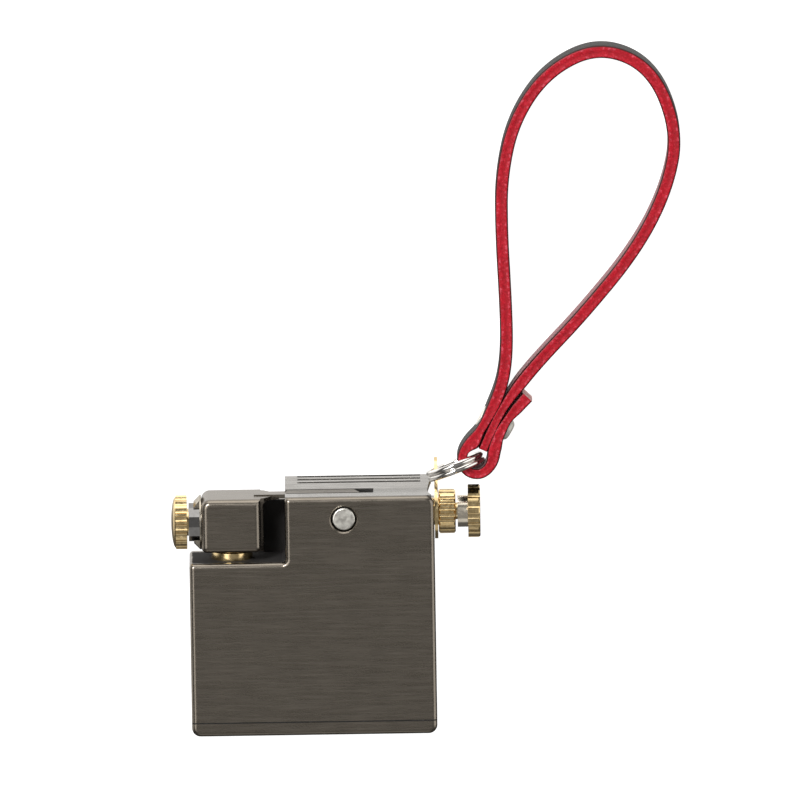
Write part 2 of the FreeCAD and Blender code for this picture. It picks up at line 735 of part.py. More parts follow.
def make_flint_screw():
    tip = size.case_width - size.wall * 0.45
    shank = size.screw_start - tip
    neck = shank + size.screw_neck_length
    end = neck + size.screw_knob_length
    shank_radius = size.neck_bore - size.running_clearance
    body = turned("flint_screw", [
        (0, 0), (shank_radius, 0), (shank_radius, shank), (size.screw_neck_radius, shank),
        (size.screw_neck_radius, neck), (size.screw_knob_radius, neck),
        (size.screw_knob_radius, end), (0, end)])
    blend_edges(body, size.wall * 0.4,
                lambda e: flat_at(e, "Z", end.value) and e.BoundBox.XLength > 1)
    hollow_out, hollow_radius = SCREW_FLUTE
    flutes(body, SCREW_FLUTES, size.screw_knob_radius + hollow_out, hollow_radius, neck - 0.001,
           size.screw_knob_length + OVERCUT)
    place(body, tip, size.side_axis_up, MID_DEPTH, Rotation(Vector(0, 1, 0), 90))


def make_knurled_collar():
    bore = size.neck_outer + size.running_clearance
    body = turned("knurled_collar", [
        (bore, 0), (size.collar_radius, 0), (size.collar_radius, size.collar_length),
        (bore, size.collar_length)])
    end = size.collar_length.value
    blend_edges(body, size.wall * 0.3,
                lambda e: (flat_at(e, "Z", end) or flat_at(e, "Z", 0)) and e.BoundBox.XLength > 6,
                kind="PartDesign::Chamfer")
    groove_out, groove_radius = COLLAR_FLUTE
    flutes(body, COLLAR_FLUTES, size.collar_radius + groove_out, groove_radius, -0.2,
           size.collar_length + 0.4)
    place(body, size.collar_start, size.side_axis_up, MID_DEPTH, Rotation(Vector(0, 1, 0), 90))


def make_lug_plate():
    """A round washer with a pointed ear for the ring, which can swing about the tube."""
    body = new_body("lug_plate")
    big, small, reach = size.lug_radius, size.lug_tip_radius, size.lug_reach
    lean = math.asin((big.value - small.value) / reach.value)
    thick = size.lug_thickness
    disc(body, "XY_Plane", 0, thick, 0, 0, big)
    slab(body, "XY_Plane", 0, thick, [
        (big * math.cos(lean), big * math.sin(lean)),
        (small * math.cos(lean), reach + small * math.sin(lean)),
        (small * -math.cos(lean), reach + small * math.sin(lean)),
        (big * -math.cos(lean), big * math.sin(lean))])
    disc(body, "XY_Plane", 0, thick, 0, reach, small)
    disc(body, "XY_Plane", -1, thick + 2, 0, reach, size.lug_hole, cuts=True)
    disc(body, "XY_Plane", -1, thick + 2, 0, 0, size.neck_outer + size.running_clearance,
         cuts=True)
    swing = Rotation(Vector(1, 0, 0), -LUG_LEAN)
    place(body, size.lug_start, size.side_axis_up, MID_DEPTH,
          swing * Rotation(Vector(0, 1, 0), 90))


# ---------------------------------------------------------------- the thumb lever

def make_thumb_lever():
    body = new_body("thumb_lever")
    left, right = size.lever_left, size.lever_right
    top, plate = size.case_height, size.lever_plate
    front, bend, rear = size.lever_front, size.lever_bend, size.lever_rear
    slope = size.lever_rise.value / (bend.value - rear.value)
    tilt = math.atan(slope)
    skirt_out = rear + 0.7
    skirt_in = skirt_out + size.lever_skirt
    profile = [
        (top, front), (top, bend), (top + size.lever_rise, rear),
        (top + size.lever_rise - plate, rear),
        (top + size.lever_rise - plate - (skirt_out - rear) * slope, skirt_out),
        (size.ledge_rear - 0.4, skirt_out), (size.ledge_rear - 0.4, skirt_in),
        (top + size.lever_rise - plate - (skirt_in - rear) * slope, skirt_in),
        (top - plate, bend - plate * math.tan(tilt / 2)), (top - plate, front),
    ]
    inner_left = size.step_width + size.wall + 0.3
    inner_right = size.case_width - size.wall - 0.3
    # The skirt stays between the side walls, so only the plate is padded to the full width.
    plate_only = profile[:4] + profile[8:]
    slab(body, "YZ_Plane", left, right - left, plate_only)
    slab(body, "YZ_Plane", inner_left, inner_right - inner_left, profile)
    ear = box_points(size.hinge_up - 1, size.hinge_depth - 1.2, top - plate / 2, front)
    for start in (inner_left, inner_right - size.lever_ear):
        slab(body, "YZ_Plane", start, size.lever_ear, ear)
    disc(body, "YZ_Plane", inner_left - 0.5, inner_right - inner_left + 1, size.hinge_up,
         size.hinge_depth, size.hinge_pin_radius + size.running_clearance, cuts=True)
    slab(body, "XZ_Plane", top - plate * 2, plate * 4, box_points(
        left - 1, size.slot_rear, size.slot_right, size.slot_front), cuts=True)
    # The skirt is notched where it passes over the axle.
    notch_half = size.axle_radius + 0.45
    slab(body, "XZ_Plane", size.ledge_rear - 1, plate * 2.4, box_points(
        size.pivot_across - notch_half, rear, size.pivot_across + notch_half, skirt_in + 0.3),
        cuts=True)
    chord, sagitta = size.lever_notch_chord.value, size.lever_notch_depth.value
    notch_radius = (chord * chord / 4 + sagitta * sagitta) / (2 * sagitta)
    disc(body, "XZ_Plane", top - plate * 2, plate * 5,
         right - size.lever_notch_depth + notch_radius, MID_DEPTH, notch_radius, cuts=True)
    # Three straight grooves run across the raised rear half for the thumb to grip.
    for number in range(LEVER_GROOVES):
        inset = size.groove_pitch * (number + 0.35)
        run = inset * math.cos(tilt)
        fall = inset * math.sin(tilt)
        y, z = top + size.lever_rise - fall, rear + run
        half = size.groove_width / 2
        along = (math.sin(tilt), math.cos(tilt))
        notch = [
            (y + half * along[0] + 0.3, z - half * along[1]),
            (y - half * along[0] + 0.3, z + half * along[1]),
            (y - half * along[0] - 0.3, z + half * along[1] - size.groove_depth),
            (y + half * along[0] - 0.3, z - half * along[1] - size.groove_depth),
        ]
        slab(body, "YZ_Plane", left + size.groove_inset, right - left - size.groove_inset - 2, notch,
             cuts=True)


def make_lever_pin():
    pin = doc.addObject("Part::Cylinder", "lever_pin")
    pin.Label = "lever_pin"
    bind(pin, "Radius", size.hinge_pin_radius)
    start = size.step_width + size.wall
    bind(pin, "Height", size.case_width - size.wall - start)
    place(pin, start, size.hinge_up, size.hinge_depth, Rotation(Vector(0, 1, 0), 90))
    made.append(pin)


def make_lever_spring():
    spring = coil_spring("lever_spring", size.lever_spring_radius, size.lever_spring_wire,
                         size.lever_spring_pitch, size.lever_spring_height)
    # Its coils stay clear of the pressed lever's skirt behind them and the flint tube in front.
    place(spring, size.case_width - size.lever_spring_inset, size.divider_base + size.wall,
          size.lever_spring_depth, Rotation(Vector(1, 0, 0), -90))


# ---------------------------------------------------------------- the ring and the strap

def ring_frame():
    """The ring's long direction, its other in-plane direction and its normal."""
    slant, tilt = math.radians(RING_SLANT), math.radians(RING_TILT)
    along = Vector(math.cos(slant), math.sin(slant), 0)
    view = Vector(0, math.sin(tilt), math.cos(tilt))
    across = view - along * view.dot(along)
    across.normalize()
    return along, across, along.cross(across)


def ring_hole_centre():
    """The middle of the lug's ring hole, in the frame."""
    lean = math.radians(LUG_LEAN)
    reach = size.lug_reach.value
    return to_frame(Vector(size.lug_start.value + size.lug_thickness.value / 2,
                           size.side_axis_up.value + reach * math.cos(lean),
                           MID_DEPTH.value - reach * math.sin(lean)))


def ring_centre():
    """Where the ring's middle is when it passes through the lug's hole."""
    along, across, _ = ring_frame()
    turn = math.radians(RING_PASS)
    radius = size.ring_radius.value
    return ring_hole_centre() - (along * math.cos(turn) - across * math.sin(turn)) * radius


def make_split_ring():
    along, across, normal = ring_frame()
    centre = ring_centre()
    turn = Rotation(along, across, normal, "ZXY")
    coils = []
    for side in (-1, 1):
        coil = doc.addObject("Part::Torus", f"ring_coil_{'lower' if side < 0 else 'upper'}")
        bind(coil, "Radius1", size.ring_radius)
        bind(coil, "Radius2", size.ring_wire)
        bind(coil, "Placement.Base.z", size.ring_coil_offset * side)
        coils.append(coil)
    ring = doc.addObject("Part::Fuse", "split_ring")
    ring.Label = "split_ring"
    ring.Base, ring.Tool = coils
    ring.Placement = FreeCAD.Placement(centre, turn)
    made.append(ring)


# The strap's route in its own plane: across and up from the middle of its eye.
STRAP_ROUTE = [
    (9.5, 11.1), (6.2, 7.7), (4.5, 4.75), (3.4, 1.7), (2.9, -0.8), (1.3, -2.6), (-0.4, -2.9),
    (-1.9, -2.1), (-2.6, -0.2), (-1.7, 2.15), (0.2, 4.3), (1.75, 6.7), (3.8, 10.5), (5.3, 15.0),
    (5.9, 21.0), (5.7, 30.0), (5.2, 41.0), (5.3, 51.9), (7.8, 62.5), (14.1, 71.4), (23.7, 75.8),
    (33.2, 71.6), (37.7, 59.8), (35.6, 49.1), (29.8, 38.0), (19.8, 26.1), (12.05, 18.1),
    (7.9, 13.2), (5.35, 9.7), (3.1, 5.75), (1.2, 1.4),
]
RIVET_MIDDLE = (3.28, 6.07)
RIVET_THROUGH = (0.86, -0.51)


def route_pieces(points):
    """Straight runs joined by tangent arcs, each (start, middle or None, end)."""
    spots = [Vector(x, y, 0) for x, y in points]
    pieces = []
    last = spots[0]
    for before, corner, after in zip(spots, spots[1:], spots[2:]):
        back = (before - corner)
        ahead = (after - corner)
        reach = 0.45 * min(back.Length, ahead.Length)
        back.normalize()
        ahead.normalize()
        half_turn = (math.pi - back.getAngle(ahead)) / 2
        radius = reach / math.tan(half_turn)
        bisector = back + ahead
        bisector.normalize()
        middle = corner + bisector * (radius / math.cos(half_turn) - radius)
        pieces.append((last, None, corner + back * reach))
        pieces.append((corner + back * reach, middle, corner + ahead * reach))
        last = corner + ahead * reach
    pieces.append((last, None, spots[-1]))
    return pieces


def side_edges(pieces, offset):
    """The route moved sideways by offset, to its left when offset is positive."""
    edges = []
    for start, middle, end in pieces:
        if middle is None:
            sideways = (end - start).cross(Vector(0, 0, -1))
            sideways.normalize()
            shift = sideways * offset
            edges.append(Part.LineSegment(start + shift, end + shift))
            continue
        circle = Part.Arc(start, middle, end).toShape().Curve
        centre = circle.Center
        turns_left = (middle - start).cross(end - middle).z > 0
        radius = circle.Radius - offset if turns_left else circle.Radius + offset
        edges.append(Part.Arc(*[
            centre + (spot - centre) * (radius / circle.Radius) for spot in (start, middle, end)]))
    return edges


def make_strap():
    strap = doc.addObject("Part::Feature", "strap")
    strap.Label = "strap"
    pieces = route_pieces(STRAP_ROUTE)
    half = size.strap_thickness.value / 2
    left = side_edges(pieces, half)
    right = side_edges(pieces, -half)
    ends = [
        Part.LineSegment(left[0].StartPoint, right[0].StartPoint),
        Part.LineSegment(left[-1].EndPoint, right[-1].EndPoint),
    ]
    edges = [curve.toShape() for curve in left + right + ends]
    outline = Part.Wire(Part.__sortEdges__(edges))
    width = size.strap_width.value
    solid = Part.Face(outline).extrude(Vector(0, 0, width))
    strap.Shape = solid
    lower_edge = FreeCAD.Placement(Vector(0, 0, -width / 2), Rotation())
    strap.Placement = strap_placement().multiply(lower_edge)
    made.append(strap)


def strap_placement():
    """The strap's plane falls gently from the ring to the surface at the loop's far end."""
    along, _, _ = ring_frame()
    eye = ring_centre() + along * (size.ring_radius.value - EYE_BACK) + EYE_SHIFT
    return FreeCAD.Placement(eye, Rotation(Vector(1, 0, 0), -STRAP_TILT))


def make_strap_rivet():
    """A rivet through the three layers of the strap, with a low head and a domed one."""
    stack = size.strap_thickness * 3 + 0.3
    head, post = size.rivet_radius, size.rivet_post_radius
    low = size.rivet_low_head
    shoulder = low + stack
    top = shoulder + size.rivet_dome
    body = turned("strap_rivet", [
        (0, 0), (head, 0), (head, low), (post, low), (post, shoulder), (head, shoulder),
        (head, top), (0, top)])
    for level, radius in ((0, low * 0.8), (top.value, size.rivet_dome * 0.85)):
        blend_edges(body, radius,
                    lambda e: flat_at(e, "Z", level) and e.BoundBox.XLength > 1)
    middle = Vector(*RIVET_MIDDLE, 0)
    through = Vector(*RIVET_THROUGH, 0)
    through.normalize()
    base = middle - through * (low + stack / 2).value
    turn = Rotation(Vector(0, 0, 1), through)
    set_pose(body, strap_placement().multiply(FreeCAD.Placement(base, turn)))


def write_parts():
    doc.recompute()
    for thing in doc.Objects:
        bad = [word for word in thing.State if word in ("Invalid", "Error")]
        if bad:
            raise RuntimeError(f"{thing.Name} is {bad}")
    for thing in made:
        if thing.Shape.isNull() or not thing.Shape.isValid():
            raise RuntimeError(f"{thing.Label} has no valid shape")
        if len(thing.Shape.Solids) != 1:
            raise RuntimeError(f"{thing.Label} has {len(thing.Shape.Solids)} solids")
    os.makedirs("parts", exist_ok=True)
    for thing in made:
        thing.Shape.exportStep(f"parts/{thing.Label}.step")
        box = thing.Shape.BoundBox
        print(f"{thing.Label:18s} X {box.XMin:7.2f} {box.XMax:7.2f}  Y {box.YMin:7.2f}"
              f" {box.YMax:7.2f}  Z {box.ZMin:6.2f} {box.ZMax:6.2f}")


make_case_shell()
make_tank_divider()
make_bottom_cap()
make_bottom_gasket()
make_tank_filling()
make_wick()
make_wick_tube()
make_snuffer_arm()
make_snuffer_cup()
make_side_knob()
make_pivot_axle()
make_wheels()
make_pawl_spring()
make_flint_train()
make_flint_screw()
make_knurled_collar()
make_lug_plate()
make_thumb_lever()
make_lever_pin()
make_lever_spring()
make_split_ring()
make_strap()
make_strap_rivet()
write_parts()
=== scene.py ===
"""A flint spark lighter with a wrist strap, lying on its back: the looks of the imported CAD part.

Lengths are in metres. A leather's texture coordinates are (distance from the tail, reach from the
strap's middle line, place across its width), kept on the mesh as the attribute "strap_uv".
"""

import math

import bmesh
import bpy
from mathutils import Matrix, Vector

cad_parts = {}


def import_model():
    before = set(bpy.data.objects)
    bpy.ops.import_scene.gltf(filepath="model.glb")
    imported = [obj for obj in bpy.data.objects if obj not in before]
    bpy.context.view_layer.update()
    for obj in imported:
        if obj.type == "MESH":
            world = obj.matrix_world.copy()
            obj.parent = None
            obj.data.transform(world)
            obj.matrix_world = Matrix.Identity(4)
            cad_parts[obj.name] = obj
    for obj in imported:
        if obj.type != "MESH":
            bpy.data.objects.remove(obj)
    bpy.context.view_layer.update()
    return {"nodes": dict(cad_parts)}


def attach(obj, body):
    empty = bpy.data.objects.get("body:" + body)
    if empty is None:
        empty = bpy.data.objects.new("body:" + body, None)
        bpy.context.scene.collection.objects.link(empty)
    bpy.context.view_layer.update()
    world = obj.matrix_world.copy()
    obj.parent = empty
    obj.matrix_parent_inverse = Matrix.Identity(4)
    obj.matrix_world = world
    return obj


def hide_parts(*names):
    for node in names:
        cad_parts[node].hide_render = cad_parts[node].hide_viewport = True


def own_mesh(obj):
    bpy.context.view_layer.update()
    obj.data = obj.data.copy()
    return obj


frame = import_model()
MM = 0.001
FINE_BUMP = 0.02 * MM       # height of a metal's brushing
THREAD_BUMP = 0.2 * MM      # height of a cloth's threads
TINT_BORDER_NOISE = 700.0        # noise scale of the border of a tinted region


# ---------------------------------------------------------------- node helpers

RANGE_SOCKETS = ("From Min", "From Max", "To Min", "To Max")


class Shader:
    """A material with one Principled shader and short calls for its texture nodes."""

    def __init__(self, name, **fixed):
        self.material = bpy.data.materials.new(name)
        self.material.use_nodes = True
        self.tree = self.material.node_tree
        self.tree.nodes.clear()
        self.out = self.add("ShaderNodeOutputMaterial")
        self.bsdf = self.add("ShaderNodeBsdfPrincipled")
        self.link(self.bsdf.outputs[0], self.out.inputs[0])
        for key, value in fixed.items():
            self.bsdf.inputs[key.replace("_", " ")].default_value = value

    def add(self, kind, **settings):
        node = self.tree.nodes.new(kind)
        for key, value in settings.items():
            setattr(node, key, value)
        return node

    def link(self, a, b):
        self.tree.links.new(a, b)

    def coords(self, scale=(1, 1, 1), turn=(0, 0, 0), attribute=None):
        """Object coordinates, or a named attribute's, times a scale per axis."""
        if attribute:
            source = self.add("ShaderNodeAttribute", attribute_name=attribute).outputs["Vector"]
        else:
            source = self.add("ShaderNodeTexCoord").outputs["Object"]
        mapping = self.add("ShaderNodeMapping")
        mapping.inputs["Scale"].default_value = scale
        mapping.inputs["Rotation"].default_value = turn
        self.link(source, mapping.inputs["Vector"])
        return mapping.outputs[0]

    def noise(self, vector, scale, detail=4.0, roughness=0.55):
        node = self.add("ShaderNodeTexNoise")
        node.inputs["Scale"].default_value = scale
        node.inputs["Detail"].default_value = detail
        node.inputs["Roughness"].default_value = roughness
        self.link(vector, node.inputs["Vector"])
        return node.outputs["Fac"]

    def cells(self, vector, scale, feature="F1"):
        node = self.add("ShaderNodeTexVoronoi", feature=feature)
        node.inputs["Scale"].default_value = scale
        self.link(vector, node.inputs["Vector"])
        return node.outputs["Distance"]

    def spread(self, value, low, high, to_low, to_high):
        node = self.add("ShaderNodeMapRange")
        for socket, number in zip(RANGE_SOCKETS, (low, high, to_low, to_high)):
            node.inputs[socket].default_value = number
        self.link(value, node.inputs["Value"])
        return node.outputs[0]

    def ramp(self, value, stops):
        node = self.add("ShaderNodeValToRGB")
        while len(node.color_ramp.elements) < len(stops):
            node.color_ramp.elements.new(0.5)
        for element, (place, colour) in zip(node.color_ramp.elements, stops):
            element.position = place
            element.color = (*colour, 1)
        self.link(value, node.inputs["Fac"])
        return node.outputs["Color"]

    def mix(self, factor, a, b, blend="MIX"):
        node = self.add("ShaderNodeMix", data_type="RGBA", blend_type=blend)
        for socket, value in ((node.inputs[0], factor), (node.inputs[6], a), (node.inputs[7], b)):
            if isinstance(value, (float, int)):
                socket.default_value = value
            elif isinstance(value, tuple):
                socket.default_value = (*value, 1)
            else:
                self.link(value, socket)
        return node.outputs[2]

    def bump(self, height, strength, distance):
        node = self.add("ShaderNodeBump")
        node.inputs["Strength"].default_value = strength
        node.inputs["Distance"].default_value = distance
        self.link(height, node.inputs["Height"])
        if self.bsdf.inputs["Normal"].is_linked:
            self.link(self.bsdf.inputs["Normal"].links[0].from_socket, node.inputs["Normal"])
        self.link(node.outputs[0], self.bsdf.inputs["Normal"])

    def set(self, socket, value):
        self.link(value, self.bsdf.inputs[socket])


def metal(name, dark, light, rough, streak=(1, 1, 1), scale=2500.0, depth=0.15, cloud=250.0, metallic=1.0):
    """A metal whose tone and roughness vary in streaks and in broad clouds."""
    s = Shader(name, Metallic=metallic)
    fine = s.noise(s.coords(streak), scale, detail=5)
    broad = s.noise(s.coords(), cloud, detail=3)
    tone = s.ramp(fine, [(0.3, dark), (0.7, light)])
    shade = s.ramp(broad, [(0.25, (0.88, 0.88, 0.88)), (0.75, (1.0, 1.0, 1.0))])
    s.set("Base Color", s.mix(1.0, tone, shade, "MULTIPLY"))
    s.set("Roughness", s.spread(fine, 0.25, 0.75, rough[0], rough[1]))
    s.bump(fine, depth, FINE_BUMP)
    return s


def cloth(name, dark, light, scale, depth, rough=0.95):
    """A fibrous material: matted threads with dark gaps."""
    s = Shader(name, Roughness=rough)
    threads = s.noise(s.coords((1, 1, 3)), scale, detail=8, roughness=0.7)
    s.set("Base Color", s.ramp(threads, [(0.3, dark), (0.65, light)]))
    s.bump(threads, depth, THREAD_BUMP)
    return s


def tint_inside(shader, low, high, fade, colour, matt=None):
    """Changes a metal's colour in a box of the node, with a patchy border of width fade.

    With matt, the box is no longer metal and has that roughness.
    """
    place = shader.coords()
    wander = shader.spread(shader.noise(place, TINT_BORDER_NOISE, detail=3), 0.3, 0.7, -fade / 2, fade / 2)
    parts = shader.add("ShaderNodeSeparateXYZ")
    shader.link(place, parts.inputs[0])
    inside = None
    for axis in range(3):
        shifted = shader.add("ShaderNodeMath", operation="ADD")
        shader.link(parts.outputs[axis], shifted.inputs[0])
        shader.link(wander, shifted.inputs[1])
        for limit, sign in ((low[axis], 1), (high[axis], -1)):
            step = shader.spread(shifted.outputs[0], limit, limit + sign * fade, 0.0, 1.0)
            if inside is None:
                inside = step
                continue
            both = shader.add("ShaderNodeMath", operation="MULTIPLY")
            shader.link(inside, both.inputs[0])
            shader.link(step, both.inputs[1])
            inside = both.outputs[0]
    untinted_colour = shader.bsdf.inputs["Base Color"].links[0].from_socket
    shader.set("Base Color", shader.mix(inside, untinted_colour, colour))
    if matt is not None:
        polish = shader.bsdf.inputs["Roughness"].links[0].from_socket
        shader.set("Roughness", shader.mix(inside, polish, (matt, matt, matt)))
        shader.set("Metallic", shader.spread(inside, 0.0, 1.0, 1.0, 0.0))


# ---------------------------------------------------------------- materials

def gunmetal_shader(name, dark, light, rough):
    """Brushed black nickel: streaks along X, a few longer scratches, and soft handling marks."""
    s = metal(name, dark, light, rough, streak=(0.035, 1, 1), scale=4200.0, depth=0.1)
    marks = s.noise(s.coords((0.2, 1, 1)), 900.0, detail=2)
    s.bump(s.spread(marks, 0.62, 0.7, 0.0, 1.0), 0.04, FINE_BUMP)
    return s


GUNMETAL_TONES = ((0.205, 0.181, 0.15), (0.245, 0.217, 0.183), (0.24, 0.32))
BRASS_TONES = ((0.72, 0.53, 0.26), (0.88, 0.69, 0.38), (0.12, 0.26))

gunmetal = gunmetal_shader("gunmetal", *GUNMETAL_TONES)
case_metal = gunmetal_shader("case_metal", *GUNMETAL_TONES)
# Painted shade: the recess beside the wick and the mechanism's bay are painted near black and matt, standing
# in for the shade that falls in them.
PAINTED_SHADE_LOW, PAINTED_SHADE_HIGH = (-22.1 * MM, 9.7 * MM, 0.9 * MM), (21.4 * MM, 24 * MM, 12 * MM)
tint_inside(case_metal, PAINTED_SHADE_LOW, PAINTED_SHADE_HIGH, 0.25 * MM, (0.018, 0.016, 0.015), matt=0.9)
# Painted light: a lighter copy of the gunmetal for the thumb lever, standing in for the light its top
# catches.
top_metal = gunmetal_shader("top_metal", (0.4, 0.39, 0.375), (0.5, 0.49, 0.475), (0.22, 0.3))
black_nickel = metal("black_nickel", (0.24, 0.235, 0.23), (0.31, 0.305, 0.3), (0.05, 0.09),
                     scale=1500.0, depth=0.03)
brass = metal("brass", *BRASS_TONES, scale=1400.0, depth=0.12)
screw_brass = metal("screw_brass", *BRASS_TONES, scale=1400.0, depth=0.12)
# The screw's neck is worn to a pale satin.
NECK_LOW, NECK_HIGH = (26.7 * MM, 10 * MM, 0.0), (28.7 * MM, 26 * MM, 13 * MM)
tint_inside(screw_brass, NECK_LOW, NECK_HIGH, 0.1 * MM, (0.86, 0.79, 0.66))
satin_steel = metal("satin_steel", (0.6, 0.58, 0.53), (0.9, 0.88, 0.82), (0.25, 0.45),
                    scale=1200.0, depth=0.35)
steel = metal("steel", (0.42, 0.42, 0.42), (0.58, 0.58, 0.57), (0.2, 0.34), scale=1800.0)
washer_metal = metal("washer_metal", (0.36, 0.32, 0.26), (0.46, 0.42, 0.35), (0.2, 0.3),
                     scale=1600.0, depth=0.1)
rivet_metal = metal("rivet_metal", (0.74, 0.71, 0.64), (0.86, 0.83, 0.76), (0.42, 0.55),
                    scale=1600.0, depth=0.1, metallic=0.35)
chrome = metal("chrome", (0.7, 0.68, 0.65), (0.8, 0.78, 0.75), (0.06, 0.12), scale=800.0, depth=0.03)
flint = metal("flint", (0.1, 0.09, 0.085), (0.2, 0.19, 0.18), (0.5, 0.75), scale=4000.0, depth=0.6)
cotton = cloth("cotton", (0.55, 0.52, 0.46), (0.9, 0.88, 0.83), 1800.0, 0.8)
felt = cloth("felt", (0.3, 0.28, 0.26), (0.55, 0.53, 0.5), 3000.0, 0.6)
wick = cloth("wick", (0.45, 0.4, 0.33), (0.8, 0.75, 0.66), 2500.0, 0.8)


def rubber():
    s = Shader("gasket")
    speckle = s.noise(s.coords(), 2500.0)
    s.set("Base Color", s.ramp(speckle, [(0.3, (0.02, 0.02, 0.02)), (0.7, (0.05, 0.05, 0.05))]))
    s.set("Roughness", s.spread(speckle, 0.3, 0.7, 0.55, 0.75))
    return s


def leather_edge():
    """The dyed edge: red, with pale specks painted along its two ridges as painted highlights, and darkened
    to near black at each border.
    """
    s = Shader("leather_edge", Coat_Weight=0.06, Coat_Roughness=0.35, Specular_IOR_Level=0.25)
    place = s.coords(attribute="strap_uv")
    fine = s.noise(place, 2600.0, detail=6, roughness=0.65)
    broad = s.noise(place, 420.0, detail=3)
    red = s.ramp(fine, [(0.3, (0.3, 0.002, 0.01)), (0.55, (0.5, 0.003, 0.016)),
                        (0.75, (0.72, 0.03, 0.06))])
    share = s.add("ShaderNodeAttribute", attribute_name="strap_share")
    size = s.add("ShaderNodeMath", operation="ABSOLUTE")
    s.link(share.outputs["Fac"], size.inputs[0])
    across = size.outputs[0]
    # Painted highlights: pale pink specks along the two ridges.
    ridge_highlight_mask = s.ramp(across, [(0.3, (0, 0, 0)), (0.52, (1, 1, 1)), (0.7, (1, 1, 1)), (0.8, (0, 0, 0))])
    highlight_speck_noise = s.spread(s.noise(place, 1700.0, detail=4), 0.52, 0.66, 0.0, 0.6)
    red_with_painted_highlights = s.mix(s.mix(1.0, ridge_highlight_mask, highlight_speck_noise, "MULTIPLY"), red, (0.82, 0.13, 0.19))
    patches = s.ramp(broad, [(0.3, (0.78, 0.78, 0.78)), (0.7, (1, 1, 1))])
    border = s.ramp(across, [(0.0, (0.84, 0.84, 0.84)), (0.55, (1, 1, 1)), (0.74, (0.9, 0.9, 0.9)),
                             (0.86, (0.06, 0.03, 0.03))])
    patchy_with_painted_highlights = s.mix(1.0, red_with_painted_highlights, patches, "MULTIPLY")
    s.set("Base Color", s.mix(1.0, patchy_with_painted_highlights, border, "MULTIPLY"))
    s.set("Roughness", s.spread(fine, 0.3, 0.7, 0.34, 0.55))
    s.bump(fine, 0.6, 0.08 * MM)
    return s


def leather_grain():
    """The outer face: black and pebbled."""
    s = Shader("leather_grain", Specular_IOR_Level=0.12)
    place = s.coords(attribute="strap_uv")
    pebbles = s.cells(place, 2400.0)
    pores = s.noise(place, 5000.0, detail=4)
    s.set("Base Color", s.ramp(pores, [(0.3, (0.008, 0.007, 0.007)), (0.7, (0.024, 0.021, 0.02))]))
    s.set("Roughness", s.spread(pores, 0.3, 0.7, 0.38, 0.6))
    s.bump(pebbles, 0.6, 0.1 * MM)
    s.bump(pores, 0.25, 0.04 * MM)
    return s


def leather_lining():
    """The inner face: dark red suede."""
    s = Shader("leather_lining", Roughness=0.85, Sheen_Weight=0.3)
    nap = s.noise(s.coords(attribute="strap_uv"), 3500.0, detail=7, roughness=0.7)
    s.set("Base Color", s.ramp(nap, [(0.3, (0.1, 0.004, 0.01)), (0.7, (0.28, 0.014, 0.03))]))
    s.bump(nap, 0.5, 0.1 * MM)
    return s


def leather_cut():
    """The cut ends: pale undyed fibre stained pink."""
    s = Shader("leather_cut", Roughness=0.9)
    strands = s.noise(s.coords(attribute="strap_uv"), 3000.0, detail=8, roughness=0.75)
    s.set("Base Color", s.ramp(strands, [(0.3, (0.5, 0.16, 0.16)), (0.7, (0.9, 0.66, 0.62))]))
    s.bump(strands, 0.7, 0.1 * MM)
    return s


gasket = rubber()

NODE_FINISH = {
    case_metal: ["case_shell"],
    gunmetal: ["bottom_cap", "snuffer_arm"],
    top_metal: ["thumb_lever"],
    black_nickel: ["knob_collar"],
    brass: ["finger_knob", "wick_tube", "lug_plate", "knurled_collar", "flint_tube", "snuffer_cup"],
    screw_brass: ["flint_screw"],
    satin_steel: ["pivot_axle"],
    rivet_metal: ["strap_rivet"],
    washer_metal: ["knob_washer"],
    steel: ["tank_divider", "lever_pin", "lever_spring", "pawl_spring", "ratchet_wheel", "spark_wheel",
            "flint_spring", "flint_follower"],
    chrome: ["split_ring"],
    flint: ["flint"],
    cotton: ["cotton_packing"],
    felt: ["felt_pad"],
    wick: ["wick"],
    gasket: ["bottom_gasket"],
}
for shader, names in NODE_FINISH.items():
    for name in names:
        node = frame["nodes"][name]
        node.data.materials.clear()
        node.data.materials.append(shader.material)


# ---------------------------------------------------------------- wrist strap

STRAP_ORIGIN = Vector((0.030397, 0.028478, 0.006479))
STRAP_TILT = math.radians(2.3)
PLANE_U = Vector((1, 0, 0))
PLANE_V = Vector((0, math.cos(STRAP_TILT), -math.sin(STRAP_TILT)))
PLANE_W = Vector((0, math.sin(STRAP_TILT), math.cos(STRAP_TILT)))
STRAP_WIDTH = 0.0066
STRAP_ROUTE = [
    (0.0095, 0.0111), (0.0062, 0.0077), (0.0045, 0.00475), (0.0034, 0.0017), (0.0029, -0.0008),
    (0.0013, -0.0026), (-0.0004, -0.0029), (-0.0019, -0.0021), (-0.0026, -0.0002), (-0.0017, 0.00215),
    (0.0002, 0.0043), (0.00175, 0.0067), (0.0038, 0.0105), (0.0053, 0.015), (0.0059, 0.021),
    (0.0057, 0.03), (0.0052, 0.041), (0.0053, 0.0519), (0.0078, 0.0625), (0.0141, 0.0714),
    (0.0237, 0.0758), (0.0332, 0.0716), (0.0377, 0.0598), (0.0356, 0.0491), (0.0298, 0.038),
    (0.0198, 0.0261), (0.01205, 0.0181), (0.0079, 0.0132), (0.00535, 0.0097), (0.0031, 0.00575),
    (0.0012, 0.0014),
]


def plane_point(u, v, w=0.0):
    return STRAP_ORIGIN + u * PLANE_U + v * PLANE_V + w * PLANE_W


